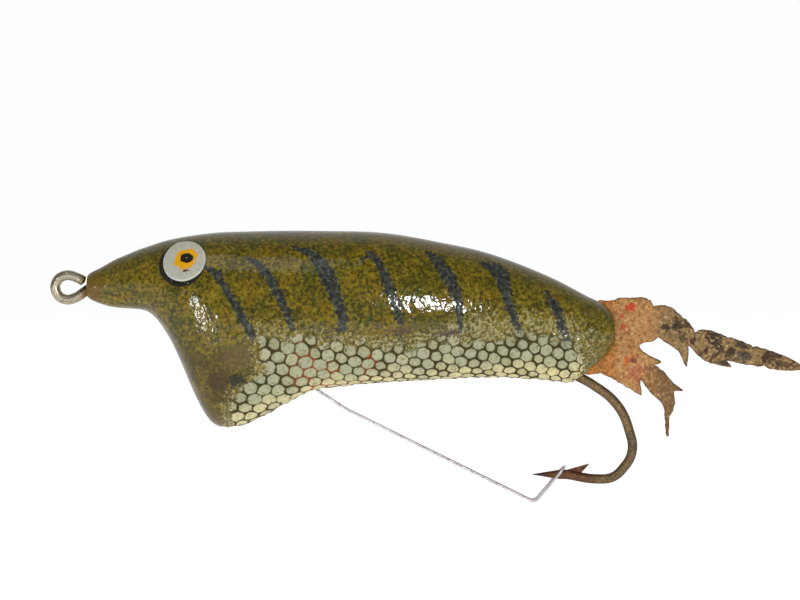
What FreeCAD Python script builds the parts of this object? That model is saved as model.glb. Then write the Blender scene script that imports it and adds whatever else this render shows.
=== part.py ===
import FreeCAD, Part
import math
import os

# A carved wooden fishing lure with a stretched skin cover, one fixed hook, a sprung
# wire weed guard and a cut leather tail.  All sizes are in millimetres.  The origin is
# the centre of the line-tie ring at the nose; +X runs from nose to tail, +Z is the back.
# The hook, the guard and the tail are placed from the body's tail end.

Vec = FreeCAD.Vector
ACROSS = Vec(0, 1, 0)

# --- body ---
NOSE_X = 4.9
BODY_LENGTH = 126.0
BODY_WIDTH = 25.8
# share of the length, top z, bottom z, share of the width, z of the widest level
STATIONS = [
    (0.0000,   2.8,   -2.4, 0.202,   0.2),
    (0.0167,   4.2,   -3.6, 0.240,   0.4),
    (0.0357,   5.5,   -4.4, 0.287,   0.6),
    (0.0563,   6.9,   -4.9, 0.341,   0.9),
    (0.0770,   8.0,   -5.1, 0.403,   1.2),
    (0.0976,   9.1,   -5.3, 0.473,   1.4),
    (0.1143,   9.8,   -5.8, 0.527,   1.4),
    (0.1381,  10.8,   -8.5, 0.605,   0.6),
    (0.1667,  11.7,  -14.5, 0.690,  -0.8),
    (0.1960,  12.4,  -23.1, 0.775,  -2.6),
    (0.2198,  12.8,  -29.4, 0.837,  -4.2),
    (0.2405,  13.1,  -32.7, 0.876,  -5.4),
    (0.2643,  13.3,  -33.6, 0.915,  -6.4),
    (0.2913,  13.4,  -33.1, 0.946,  -7.2),
    (0.3262,  13.5,  -31.4, 0.969,  -7.8),
    (0.3714,  13.6,  -28.2, 0.984,  -8.0),
    (0.4254,  13.6,  -25.0, 1.000,  -8.0),
    (0.4849,  13.5,  -23.6, 1.000,  -8.0),
    (0.5643,  13.1,  -22.7, 0.977,  -8.0),
    (0.6595,  11.1,  -22.0, 0.907,  -8.2),
    (0.7548,   8.5,  -21.5, 0.798,  -8.6),
    (0.8421,   4.6,  -21.9, 0.674,  -9.2),
    (0.8976,   1.5,  -22.6, 0.589, -10.0),
    (0.9294,  -0.6,  -22.3, 0.543, -10.6),
    (0.9579,  -2.5,  -19.5, 0.488, -10.8),
    (0.9817,  -4.0,  -17.0, 0.434, -10.8),
    (0.9952,  -5.7,  -15.3, 0.380, -10.8),
    (1.0000,  -8.0,  -13.4, 0.279, -10.8),
]
BACK_SQUARENESS = 2.1     # 2 is an ellipse, more is squarer
BELLY_SQUARENESS = 2.3
SECTION_POINTS = 28
SKIN_THICKNESS = 0.6
SEAM_GAP = 0.3
SEAM_FROM_NOSE = 32.1

# --- line tie: a screw eye in the nose ---
TIE_WIRE_R = 1.25
TIE_RING_R = 2.9
TIE_WEAR = 0.15           # depth of the flat worn inside the ring
TIE_PLAIN_LENGTH = 7.1    # of the shank in the nose, before the thread
TIE_THREAD_ROOT_R = 0.9
TIE_THREAD_PITCH = 1.5
TIE_THREADS = 7

# --- hook: (x from the tail end, z) corners of the centre line after the shank ---
HOOK_WIRE_R = 1.15
HOOK_EYE = (-73.9, -11.2)
HOOK_EYE_RING_R = 2.9
HOOK_CORNERS = [(-9.6, -20.1), (2.1, -28.0), (5.5, -39.7), (0.4, -46.0), (-5.5, -46.0),
                (-10.7, -44.9)]
HOOK_POINT = (-19.3, -44.9)
HOOK_TAPER = 6.5
HOOK_POINT_R = 0.08
BARB = [(-13.3, -44.4), (-10.7, -43.7), (-5.6, -42.3), (-7.4, -44.3), (-11.1, -44.9)]
BARB_WIDTH = 0.9
HOOK_CLEARANCE = 0.15     # round the wire, where it leaves the body
SLOT_SIDE_GAP = 0.1
HOOK_PIN_GAP = 0.25       # between the pin and the inside of the hook's eye
PIN_COVER = 2.0           # wood left over each end of the two cross pins

# --- weed guard: a wire hairpin that swings on a pin in the belly ---
GUARD_WIRE_R = 0.3
GUARD_PIVOT_X = -72.4     # from the tail end
GUARD_PIN_DEPTH = 2.6     # of the pin's centre, above the belly
GUARD_PIN_R = 0.7
GUARD_RUNNING_GAP = 0.05
GUARD_KNEE = (8.4, -6.8)  # from the pivot
GUARD_HEEL = (0.5, -6.6)  # from the hook's point
GUARD_TIP_X = 7.7         # from the hook's point
GUARD_HOOK_GAP = 0.45     # between the guard's closed end and the hook's wire
GUARD_LEG_GAP = 1.2       # between the two legs, at the pin
GUARD_KNEE_R = 25.0
GUARD_HEEL_R = 1.5
POCKET_SIDE_GAP = 0.6
POCKET_AHEAD = 2.5        # of the pivot
POCKET_BEHIND = 6.0
POCKET_ABOVE = 1.8

# --- eyes: painted tacks ---
EYE_FROM_NOSE = 24.1
EYE_Z = 6.1
EYE_HEAD_R = 5.2
EYE_HEAD_THICKNESS = 1.7
EYE_PROUD = 0.45
EYE_EDGE_R = 0.4
EYE_SHANK_R = 0.8
EYE_SHANK_GAP = 2.0

# --- tail: cut leather, outlines as (x from the tail end, z) ---
LEATHER = 1.2
FOLD_CLEARANCE = 0.08
TAIL_FOLD = [(1.7, -22.9), (1.7, -2.5)]
UPPER_FOLD = [(10.9, -11.9), (10.9, -4.4)]
TIP_FOLD = [(18.2, -14.0), (19.7, -10.8)]
LOWER_FOLD = [(6.6, -21.9), (9.8, -18.7)]
TAIL_ROOT = [(-12.4, -5.8), (-4.9, -4.6), (-3.2, -3.1), (0.3, -3.1), (1.4, -2.5),
             TAIL_FOLD[1], TAIL_FOLD[0], (0.3, -22.2), (-3.0, -20.5), (-4.3, -18.4),
             (-5.9, -17.0), (-12.4, -16.2)]
TAIL_FAN = [TAIL_FOLD[1], (8.8, -2.5), (9.7, -4.2), UPPER_FOLD[1], UPPER_FOLD[0],
            (10.0, -12.7), (7.7, -13.4), (6.3, -13.9), (7.3, -15.1), (9.1, -16.6),
            (11.6, -17.7), LOWER_FOLD[1], LOWER_FOLD[0], (7.0, -26.1), (4.9, -24.9),
            TAIL_FOLD[0]]
UPPER_CLAW = [UPPER_FOLD[1], (12.3, -4.3), (14.4, -5.1), (16.1, -6.6), (18.6, -8.7),
              (19.5, -9.9), TIP_FOLD[1], TIP_FOLD[0], (17.9, -19.1), (16.5, -17.0),
              (15.8, -15.2), (14.4, -14.2), (12.6, -13.1), UPPER_FOLD[0]]
CLAW_TIP = [TIP_FOLD[1], (21.8, -10.1), (23.5, -10.3), (27.1, -11.7), (27.4, -12.1),
            (30.2, -12.7), (33.0, -13.9), (36.6, -15.0), (42.5, -17.3), (44.9, -19.1),
            (41.9, -19.9), (36.6, -19.5), (35.5, -18.7), (27.4, -17.7), (28.3, -19.3),
            (26.4, -18.9), (21.4, -17.5), (19.7, -15.7), TIP_FOLD[0]]
LOWER_CLAW = [LOWER_FOLD[1], (11.6, -19.3), (13.0, -20.7), (17.0, -24.4), (14.9, -24.9),
              (15.0, -27.5), (14.4, -29.6), (13.5, -31.1), (13.3, -35.8), (12.6, -35.8),
              (12.3, -28.9), (9.5, -25.6), (8.1, -23.7), LOWER_FOLD[0]]

# --- sizes that follow from the ones above ---
TAIL_END_X = NOSE_X + BODY_LENGTH
BELOW_BODY_Z = min(station[2] for station in STATIONS) - 2
TIE_BORE_R = TIE_RING_R - TIE_WIRE_R + TIE_WEAR
HOOK_PIN_R = HOOK_EYE_RING_R - HOOK_WIRE_R - HOOK_PIN_GAP
SLOT_WIDTH = 2 * (HOOK_WIRE_R + SLOT_SIDE_GAP)
EYE_POCKET_R = HOOK_EYE_RING_R + HOOK_WIRE_R + HOOK_CLEARANCE
GUARD_CURL_R = GUARD_PIN_R + GUARD_RUNNING_GAP + GUARD_WIRE_R
GUARD_ROOT_SPREAD = GUARD_LEG_GAP / 2 + GUARD_WIRE_R
GUARD_TIP_SPREAD = HOOK_WIRE_R + GUARD_HOOK_GAP + GUARD_WIRE_R


def at(xz, y=0.0):
    return Vec(xz[0], y, xz[1])


def aft(xz, y=0.0):
    """A point given from the body's tail end."""
    return Vec(TAIL_END_X + xz[0], y, xz[1])


def station(index):
    """x, top, bottom, half width and widest level of one station."""
    share, top, bottom, width_share, widest = STATIONS[index]
    return (NOSE_X + share * BODY_LENGTH, top, bottom, width_share * BODY_WIDTH / 2, widest)


def run_slope(index, column):
    """Slope of one station column against x, taken over the neighbours."""
    before = station(max(index - 1, 0))
    after = station(min(index + 1, len(STATIONS) - 1))
    return (after[column] - before[column]) / (after[0] - before[0])


def section_at(index, inset):
    """One body section pulled in by inset, measured square to the surface."""
    x, top, bottom, half_width, widest = station(index)
    top -= inset * min(math.hypot(1, run_slope(index, 1)), 1.8)
    bottom += inset * min(math.hypot(1, run_slope(index, 2)), 2.6)
    return x, top, bottom, half_width - inset, widest


def section_wire(x, top, bottom, half_width, widest):
    points = []
    for step in range(SECTION_POINTS):
        angle = 2 * math.pi * step / SECTION_POINTS
        side, up = math.sin(angle), math.cos(angle)
        power = BACK_SQUARENESS if up > 0 else BELLY_SQUARENESS
        reach = (abs(side) ** power + abs(up) ** power) ** (-1 / power)
        height = top - widest if up > 0 else widest - bottom
        points.append(Vec(x, half_width * side * reach, widest + height * up * reach))
    curve = Part.BSplineCurve()
    curve.interpolate(Points=points, PeriodicFlag=True)
    return Part.Wire(curve.toShape())


def body_form(inset):
    wires = [section_wire(*section_at(i, inset)) for i in range(len(STATIONS))]
    return Part.makeLoft(wires, True, False)


def section_between(x):
    """Top, bottom, half width and widest level of the body at any x."""
    stations = [station(i) for i in range(len(STATIONS))]
    after = next(i for i, row in enumerate(stations) if row[0] > x)
    low, high = stations[after - 1], stations[after]
    share = (x - low[0]) / (high[0] - low[0])
    return [a + share * (b - a) for a, b in zip(low[1:], high[1:])]


def half_width_at(x, z):
    """Half width of the body's outer surface at any x and z."""
    top, bottom, half_width, widest = section_between(x)
    if z > widest:
        power, level = BACK_SQUARENESS, (z - widest) / (top - widest)
    else:
        power, level = BELLY_SQUARENESS, (widest - z) / (widest - bottom)
    return half_width * (1 - level ** power) ** (1 / power)


def eye_axis(side):
    """Surface point and outward normal of an eye; side is -1 or +1 across Y."""
    x, z, step = NOSE_X + EYE_FROM_NOSE, EYE_Z, 1.5
    slope_x = (half_width_at(x + step, z) - half_width_at(x - step, z)) / (2 * step)
    slope_z = (half_width_at(x, z + step) - half_width_at(x, z - step)) / (2 * step)
    normal = Vec(-slope_x, side, -slope_z)
    return Vec(x, side * half_width_at(x, z), z), normal.normalize()


def rounded_wire(points, radii):
    """Straight runs between the points, joined by tangent arcs of the given radii."""
    edges = []
    start = points[0]
    for before, corner, after, radius in zip(points, points[1:], points[2:], radii):
        back = (before - corner).normalize()
        ahead = (after - corner).normalize()
        half_angle = back.getAngle(ahead) / 2
        trim = radius / math.tan(half_angle)
        middle = (back + ahead).normalize()
        dip = radius / math.sin(half_angle) - radius
        first, last = corner + back * trim, corner + ahead * trim
        edges.append(Part.LineSegment(start, first).toShape())
        edges.append(Part.Arc(first, corner + middle * dip, last).toShape())
        start = last
    edges.append(Part.LineSegment(start, points[-1]).toShape())
    return Part.Wire(edges)


def widest_radii(points, share=0.45):
    """Bend radii that use the given share of the shorter run at each corner."""
    radii = []
    for before, corner, after in zip(points, points[1:], points[2:]):
        back, ahead = before - corner, after - corner
        run = min(back.Length, ahead.Length)
        radii.append(share * run * math.tan(back.getAngle(ahead) / 2))
    return radii


def round_bar(wire, radius):
    """A round bar along a wire of tangent runs and arcs."""
    start = wire.OrderedEdges[0]
    heading = start.tangentAt(start.FirstParameter)
    ring = Part.Circle(start.valueAt(start.FirstParameter), heading, radius)
    return wire.makePipeShell([Part.Wire(ring.toShape())], True, True)


def plate(corners, thickness):
    """A flat plate on the mid-plane from its corners."""
    points = [corner - ACROSS * (thickness / 2) for corner in corners]
    face = Part.Face(Part.makePolygon(points + points[:1]))
    return face.extrude(ACROSS * thickness)


def cross_bar(centre, radius, length):
    return Part.makeCylinder(radius, length, centre - ACROSS * (length / 2), ACROSS)


def cross_pin(centre, radius):
    """A pin across the body, with wood left over both its ends."""
    half = half_width_at(centre.x, centre.z) - SKIN_THICKNESS - PIN_COVER
    return cross_bar(centre, radius, 2 * half)


def make_line_tie():
    ring = Part.makeTorus(TIE_RING_R, TIE_WIRE_R, Vec(0, 0, 0), ACROSS)
    plain_end = NOSE_X + TIE_PLAIN_LENGTH
    solid = ring.fuse(Part.makeCylinder(TIE_WIRE_R, plain_end - TIE_RING_R,
                                        Vec(TIE_RING_R, 0, 0), Vec(1, 0, 0)))
    for turn in range(TIE_THREADS):
        x = plain_end + turn * TIE_THREAD_PITCH
        solid = solid.fuse(Part.makeCone(TIE_WIRE_R, TIE_THREAD_ROOT_R, TIE_THREAD_PITCH,
                                         Vec(x, 0, 0), Vec(1, 0, 0)))
    return solid.cut(cross_bar(Vec(0, 0, 0), TIE_BORE_R, 4 * TIE_WIRE_R))


def tie_hole():
    depth = NOSE_X + TIE_PLAIN_LENGTH + TIE_THREADS * TIE_THREAD_PITCH
    return Part.makeCylinder(TIE_WIRE_R, depth, Vec(0, 0, 0), Vec(1, 0, 0))


def taper_start():
    aim = (aft(HOOK_POINT) - aft(HOOK_CORNERS[-1])).normalize()
    return aft(HOOK_POINT) - aim * HOOK_TAPER


def hook_bar(radius):
    """The hook's wire from inside its eye ring to the start of its point."""
    aim = (aft(HOOK_CORNERS[0]) - aft(HOOK_EYE)).normalize()
    start = aft(HOOK_EYE) + aim * HOOK_EYE_RING_R
    points = [start] + [aft(corner) for corner in HOOK_CORNERS] + [taper_start()]
    return round_bar(rounded_wire(points, widest_radii(points)), radius)


def make_hook():
    ring = Part.makeTorus(HOOK_EYE_RING_R, HOOK_WIRE_R, aft(HOOK_EYE), ACROSS)
    point = Part.makeCone(HOOK_WIRE_R, HOOK_POINT_R, HOOK_TAPER, taper_start(),
                          aft(HOOK_POINT) - taper_start())
    barb = plate([aft(corner) for corner in BARB], BARB_WIDTH)
    return ring.fuse([hook_bar(HOOK_WIRE_R), point, barb])


def hook_slot():
    """The saw slot from the belly up to the shank."""
    eye, end = aft(HOOK_EYE), aft(HOOK_CORNERS[0])
    slope = (end.z - eye.z) / (end.x - eye.x)
    roof = HOOK_WIRE_R + HOOK_CLEARANCE
    rear_x = end.x + 2 * roof
    outline = [(eye.x - EYE_POCKET_R, BELOW_BODY_Z), (eye.x - EYE_POCKET_R, eye.z),
               (eye.x, eye.z + roof), (rear_x, eye.z + roof + slope * (rear_x - eye.x)),
               (rear_x, BELOW_BODY_Z)]
    return plate([at(corner) for corner in outline], SLOT_WIDTH)


def guard_pivot():
    x = TAIL_END_X + GUARD_PIVOT_X
    return Vec(x, 0, section_between(x)[1] + GUARD_PIN_DEPTH)


def guard_pocket():
    pivot = guard_pivot()
    half = GUARD_ROOT_SPREAD + GUARD_WIRE_R + POCKET_SIDE_GAP
    return Part.makeBox(POCKET_AHEAD + POCKET_BEHIND, 2 * half,
                        pivot.z + POCKET_ABOVE - BELOW_BODY_Z,
                        Vec(pivot.x - POCKET_AHEAD, -half, BELOW_BODY_Z))


def guard_tip():
    """The middle of the guard's closed end, just above the hook's wire."""
    rise = HOOK_WIRE_R + GUARD_HOOK_GAP + GUARD_WIRE_R
    return aft(HOOK_POINT) + Vec(GUARD_TIP_X, 0, rise)


def guard_leg_points(side):
    """Corners of one leg from its curl to the foot of the closed end."""
    pivot = guard_pivot()
    knee = pivot + at(GUARD_KNEE)
    heel = aft(HOOK_POINT) + at(GUARD_HEEL)
    heading = (knee - pivot).normalize()
    tilt = math.asin(GUARD_CURL_R / (knee - pivot).Length)
    below = Vec(heading.z, 0, -heading.x)
    leave = pivot + (below * math.cos(tilt) + heading * math.sin(tilt)) * GUARD_CURL_R
    foot = guard_tip() - (guard_tip() - heel).normalize() * GUARD_TIP_SPREAD
    spread = [GUARD_ROOT_SPREAD, GUARD_ROOT_SPREAD, GUARD_TIP_SPREAD, GUARD_TIP_SPREAD]
    return [corner + ACROSS * side * gap
            for corner, gap in zip([leave, knee, heel, foot], spread)]


def make_weed_guard():
    radii = [GUARD_KNEE_R, GUARD_HEEL_R]
    near, far = guard_leg_points(-1), guard_leg_points(1)
    top = Part.Arc(near[-1], guard_tip(), far[-1]).toShape()
    edges = rounded_wire(near, radii).Edges + [top] + rounded_wire(far, radii).Edges
    solid = round_bar(Part.Wire(Part.__sortEdges__(edges)), GUARD_WIRE_R)
    for side in (-1, 1):
        centre = guard_pivot() + ACROSS * side * GUARD_ROOT_SPREAD
        solid = solid.fuse(Part.makeTorus(GUARD_CURL_R, GUARD_WIRE_R, centre, ACROSS))
    return solid


def make_eye_tack(side):
    point, normal = eye_axis(side)
    under = point + normal * (EYE_PROUD - EYE_HEAD_THICKNESS)
    head = Part.makeCylinder(EYE_HEAD_R, EYE_HEAD_THICKNESS, under, normal)
    rim = max(head.Edges, key=lambda edge: edge.CenterOfMass.dot(normal))
    head = head.makeFillet(EYE_EDGE_R, [rim])
    to_middle = (abs(under.y) - EYE_SHANK_GAP / 2) / abs(normal.y)
    shank = Part.makeCylinder(EYE_SHANK_R, to_middle - EYE_SHANK_R, under, normal * -1)
    return head.fuse(shank)


def fold_bar(fold, radius, extra=0.0):
    start, end = aft(fold[0]), aft(fold[1])
    aim = (end - start).normalize()
    length = (end - start).Length + 2 * extra
    return Part.makeCylinder(radius, length, start - aim * extra, aim)


def leather_piece(outline, own_fold, next_folds):
    """A leather plate with a rounded fold edge that sits in its neighbour's hollow."""
    piece = plate([aft(corner) for corner in outline], LEATHER)
    if own_fold:
        piece = piece.fuse(fold_bar(own_fold, LEATHER / 2))
    for fold in next_folds:
        piece = piece.cut(fold_bar(fold, LEATHER / 2 + FOLD_CLEARANCE, LEATHER))
    return piece


def make_fittings():
    """Everything that is set into or hung on the body."""
    return {
        "line_tie": make_line_tie(),
        "hook": make_hook(),
        "hook_pin": cross_pin(aft(HOOK_EYE), HOOK_PIN_R),
        "weed_guard": make_weed_guard(),
        "guard_pin": cross_pin(guard_pivot(), GUARD_PIN_R),
        "eye_tack_near": make_eye_tack(-1),
        "eye_tack_far": make_eye_tack(1),
        "tail_root": leather_piece(TAIL_ROOT, None, [TAIL_FOLD]),
        "tail_fan": leather_piece(TAIL_FAN, TAIL_FOLD, [UPPER_FOLD, LOWER_FOLD]),
        "upper_claw": leather_piece(UPPER_CLAW, UPPER_FOLD, [TIP_FOLD]),
        "claw_tip": leather_piece(CLAW_TIP, TIP_FOLD, []),
        "lower_claw": leather_piece(LOWER_CLAW, LOWER_FOLD, []),
    }


def make_body(fittings):
    """The wooden core, the strip that fills its slot, and the skin round it."""
    outer = body_form(0.0)
    inner = body_form(SKIN_THICKNESS)
    slot, pocket = hook_slot(), guard_pocket()
    bore = hook_bar(HOOK_WIRE_R + HOOK_CLEARANCE)
    eye_pocket = cross_bar(aft(HOOK_EYE), EYE_POCKET_R, SLOT_WIDTH)
    seam_x = NOSE_X + SEAM_FROM_NOSE
    seam = Part.makeBox(TAIL_END_X + HOOK_CORNERS[0][0] - seam_x, SEAM_GAP, -BELOW_BODY_Z,
                        Vec(seam_x, -SEAM_GAP / 2, BELOW_BODY_Z)).cut(inner)
    set_in = [fittings[name] for name in ("hook_pin", "guard_pin", "eye_tack_near",
                                          "eye_tack_far", "tail_root")]
    filler = slot.common(inner).cut([bore, pocket, eye_pocket, fittings["tail_root"]])
    return {
        "belly_filler": max(filler.Solids, key=lambda solid: solid.Volume),
        "body_core": inner.cut([slot, eye_pocket, bore, pocket, tie_hole()] + set_in),
        "skin_cover": outer.cut(inner).cut([seam, bore, pocket] + set_in),
    }


os.makedirs("parts", exist_ok=True)
pieces = make_fittings()
pieces.update(make_body(pieces))
for name, shape in pieces.items():
    solids = shape.Solids
    kept = solids[0] if len(solids) == 1 else Part.makeCompound(solids)
    kept.exportStep("parts/" + name + ".step")
    print(name, len(solids), round(kept.Volume, 1), kept.isValid())
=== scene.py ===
import math
import bpy
import numpy as np
from bpy.props import FloatProperty, FloatVectorProperty
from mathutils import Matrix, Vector, noise
from mathutils.bvhtree import BVHTree
from mathutils.geometry import delaunay_2d_cdt


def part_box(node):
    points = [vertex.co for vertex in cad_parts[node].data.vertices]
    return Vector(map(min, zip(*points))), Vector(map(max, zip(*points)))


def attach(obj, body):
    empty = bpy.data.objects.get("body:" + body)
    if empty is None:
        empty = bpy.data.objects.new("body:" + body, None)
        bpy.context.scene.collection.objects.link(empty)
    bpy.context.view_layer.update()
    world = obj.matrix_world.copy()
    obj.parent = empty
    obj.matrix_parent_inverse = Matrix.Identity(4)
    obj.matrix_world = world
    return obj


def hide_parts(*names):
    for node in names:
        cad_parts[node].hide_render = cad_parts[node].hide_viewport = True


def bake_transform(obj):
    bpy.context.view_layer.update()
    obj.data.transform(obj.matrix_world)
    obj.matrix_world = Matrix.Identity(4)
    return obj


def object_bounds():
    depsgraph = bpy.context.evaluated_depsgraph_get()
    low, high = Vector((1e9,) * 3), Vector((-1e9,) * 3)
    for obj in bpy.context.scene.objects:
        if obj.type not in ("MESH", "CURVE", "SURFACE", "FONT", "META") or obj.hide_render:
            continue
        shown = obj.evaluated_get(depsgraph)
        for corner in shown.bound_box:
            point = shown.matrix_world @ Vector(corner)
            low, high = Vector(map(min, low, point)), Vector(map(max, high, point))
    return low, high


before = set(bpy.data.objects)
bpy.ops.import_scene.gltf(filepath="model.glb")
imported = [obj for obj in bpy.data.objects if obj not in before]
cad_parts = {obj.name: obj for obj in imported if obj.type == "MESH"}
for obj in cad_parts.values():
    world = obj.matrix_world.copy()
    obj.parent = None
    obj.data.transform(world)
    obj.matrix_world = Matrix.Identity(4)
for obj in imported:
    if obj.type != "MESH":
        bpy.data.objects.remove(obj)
CAD_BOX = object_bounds()

bl_info = {
    "name": "Carved fishing lure",
    "version": (1, 0, 0),
    "blender": (4, 5, 0),
    "location": "3D View > Sidebar > Lure",
    "description": "Builds the skin, fittings and leather tail of a carved lure on its frame",
    "category": "Object",
}

MM = 0.001
ROOT_3 = math.sqrt(3)
NEAR, FAR = -1, 1          # the flank towards the camera, and the one behind it


# ---------------------------------------------------------------- node helpers

def srgb(red, green, blue):
    """An 0-255 display colour as the linear colour that nodes take."""
    channels = [value / 255 for value in (red, green, blue)]
    linear = [c / 12.92 if c <= 0.04045 else ((c + 0.055) / 1.055) ** 2.4 for c in channels]
    return (*linear, 1.0)


class Value:
    """A node's output.  A sum such as a * 2 + b adds the nodes that work it out."""

    def __init__(self, nodes, socket):
        self.nodes, self.socket = nodes, socket

    def __abs__(self):
        return self.nodes.math("ABSOLUTE", self)


def sum_method(operation, swapped):
    def method(self, other):
        return self.nodes.math(operation, *((other, self) if swapped else (self, other)))
    return method


for sign, operation in (("add", "ADD"), ("sub", "SUBTRACT"), ("mul", "MULTIPLY"),
                        ("truediv", "DIVIDE")):
    setattr(Value, f"__{sign}__", sum_method(operation, False))
    setattr(Value, f"__r{sign}__", sum_method(operation, True))


class Nodes:
    """Adds nodes to one tree.  An input may be a number, a tuple or another node's output."""

    def __init__(self, tree):
        self.tree = tree

    def feed(self, socket, value):
        value = getattr(value, "socket", value)
        if isinstance(value, bpy.types.NodeSocket):
            self.tree.links.new(value, socket)
        elif value is not None:
            socket.default_value = value

    def add(self, kind, *inputs, **settings):
        """A new node.  Its inputs are given in order, or as one dict by name or number."""
        node = self.tree.nodes.new(kind)
        for name, value in settings.items():
            setattr(node, name, value)
        by_name = inputs and isinstance(inputs[0], dict)
        for name, value in (inputs[0].items() if by_name else enumerate(inputs)):
            self.feed(node.inputs[name], value)
        return node

    def made(self, output, kind, *inputs, **settings):
        """One output of a new node."""
        return Value(self, self.add(kind, *inputs, **settings).outputs[output])

    def math(self, operation, *inputs):
        return self.made(0, "ShaderNodeMath", *inputs, operation=operation)

    def vector(self, operation, *inputs):
        output = "Value" if operation == "LENGTH" else "Vector"
        return self.made(output, "ShaderNodeVectorMath", *inputs, operation=operation)

    def scaled(self, vector, factor):
        return self.made("Vector", "ShaderNodeVectorMath", {0: vector, "Scale": factor},
                         operation="SCALE")

    def step(self, value, low, high, out_low=0.0, out_high=1.0):
        """A smooth step of value from low to high."""
        return self.made(0, "ShaderNodeMapRange", value, low, high, out_low, out_high,
                         interpolation_type="SMOOTHSTEP")

    def noise(self, point, per_mm, detail=3.0, rough=0.55, twist=0.0, output=0):
        return self.made(output, "ShaderNodeTexNoise", {
            "Vector": point, "Scale": per_mm, "Detail": detail, "Roughness": rough,
            "Distortion": twist})

    def mix(self, factor, a, b):
        return self.made(2, "ShaderNodeMix", {0: factor, 6: a, 7: b}, data_type="RGBA")

    def blend(self, factor, a, b):
        return self.made(0, "ShaderNodeMix", {0: factor, 2: a, 3: b}, data_type="FLOAT")

    def split(self, vector):
        node = self.add("ShaderNodeSeparateXYZ", vector)
        return [Value(self, socket) for socket in node.outputs]

    def join(self, x, y, z=0.0):
        return self.made(0, "ShaderNodeCombineXYZ", x, y, z)


class Paint(Nodes):
    """A material under construction, with object coordinates in millimetres."""

    def __init__(self, name):
        self.material = bpy.data.materials.new(name)
        self.material.use_nodes = True
        super().__init__(self.material.node_tree)
        self.tree.nodes.clear()
        self.mm = self.scaled(self.made("Object", "ShaderNodeTexCoord"), 1 / MM)

    def attribute(self, name, kind="Fac"):
        return self.made(kind, "ShaderNodeAttribute", attribute_name=name)

    def bump(self, height, distance_mm, strength=1.0):
        return self.made(0, "ShaderNodeBump", {
            "Strength": strength, "Distance": distance_mm * MM, "Height": height})

    def tinted(self, shade, *tints):
        """Lays tints over a shade: each a value, its step from none to all, strength, tone."""
        for value, low, high, strength, tone in tints:
            shade = self.mix(self.step(value, low, high) * strength, shade, srgb(*tone))
        return shade

    def finish(self, colour, rough, normal=None, metal=0.0, coat=0.0, coat_rough=0.1,
               level=0.5, film=None, extra=()):
        shader = self.add("ShaderNodeBsdfPrincipled", {
            "Base Color": colour, "Roughness": rough, "Metallic": metal, "Normal": normal,
            "Coat Weight": coat, "Coat Roughness": coat_rough, "Coat Normal": film,
            "Specular IOR Level": level, **dict(extra)})
        self.add("ShaderNodeOutputMaterial", shader.outputs[0])
        return self.material


def warped(n, point, amount, per_mm):
    """The point pushed about by a slow noise."""
    wander = n.vector("SUBTRACT", n.noise(point, per_mm, 1.0, output=1), (0.5, 0.5, 0.5))
    return n.vector("ADD", point, n.scaled(wander, amount))


def stained(p, shade, x, z, ragged, stains):
    """Adds ragged oval stains: each an x and z, two half axes, a tone and a strength."""
    for stain_x, stain_z, half_x, half_z, tone, strength in stains:
        away = p.join((x - stain_x) / half_x, (z - stain_z) / half_z)
        reach = p.vector("LENGTH", away) + ragged
        shade = p.tinted(shade, (reach, 1.15, 0.6, strength, tone))
    return shade


SCALE_ROUNDNESS = 0.6       # 0 for hexagonal scales, 1 for round ones
SHRINK_FROM = 45.0          # x past which the scales get smaller, mm
SHRINK_PER_MM = 0.0024      # how much more closely they lie for each mm past it


def scale_cells(n, flank, pitch, row_angle):
    """Rounded hexagonal scales: 1 at a scale's centre, 0 in its groove, and the scale's own
    two numbers.  flank is in mm along and down the flank; pitch in mm; angle in radians."""
    point = warped(n, flank, 1.3, 0.16)
    x, y, _ = n.split(n.made(0, "ShaderNodeVectorRotate", {0: point, "Angle": row_angle},
                             rotation_type="Z_AXIS"))
    beyond = n.math("MAXIMUM", x - SHRINK_FROM, 0.0)
    closer = beyond * SHRINK_PER_MM
    along = x + beyond * (closer * 0.5)
    below = y * (closer + 1.0)
    across = along / pitch
    down = below / (pitch * ROOT_3)
    found = []
    for shift in (0.0, 0.5):
        columns, rows = (value + shift for value in (across, down))
        column, row = n.math("ROUND", columns), n.math("ROUND", rows)
        dx = abs(columns - column)
        dy = abs(rows - row) * ROOT_3
        hexagon = n.math("MAXIMUM", dx, dx * 0.5 + dy * 0.866)
        circle = n.vector("LENGTH", n.join(dx, dy))
        reach = n.blend(SCALE_ROUNDNESS, hexagon, circle)
        found.append((reach, n.join(column - shift, row - shift)))
    (first, first_cell), (second, second_cell) = found
    nearer = n.math("LESS_THAN", second, first)
    cell = n.made(1, "ShaderNodeMix", {0: nearer, 4: first_cell, 5: second_cell},
                  data_type="VECTOR")
    reach = n.math("MINIMUM", first, second)
    middle = 1.0 - reach * 2.0
    own = n.add("ShaderNodeTexWhiteNoise", cell, noise_dimensions="3D")
    return n.math("MAXIMUM", middle, 0.0), Value(n, own.outputs[0]), n.split(own.outputs[1])[1]


# ---------------------------------------------------------------- mesh helpers

def new_mesh(name, points_mm, faces, material):
    mesh = bpy.data.meshes.new(name)
    mesh.from_pydata((np.asarray(points_mm, float) * MM).tolist(), [], faces)
    mesh.validate()
    mesh.polygons.foreach_set("use_smooth", [True] * len(mesh.polygons))
    mesh.materials.append(material)
    piece = bpy.data.objects.new(name, mesh)
    bpy.context.scene.collection.objects.link(piece)
    return piece


def store(piece, name, values):
    """A point attribute of one number or one vector for each vertex."""
    values = np.asarray(values, np.float32)
    kind = "FLOAT" if values.ndim == 1 else "FLOAT_VECTOR"
    attribute = piece.data.attributes.new(name, kind, "POINT")
    attribute.data.foreach_set("value" if values.ndim == 1 else "vector", values.ravel())


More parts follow.
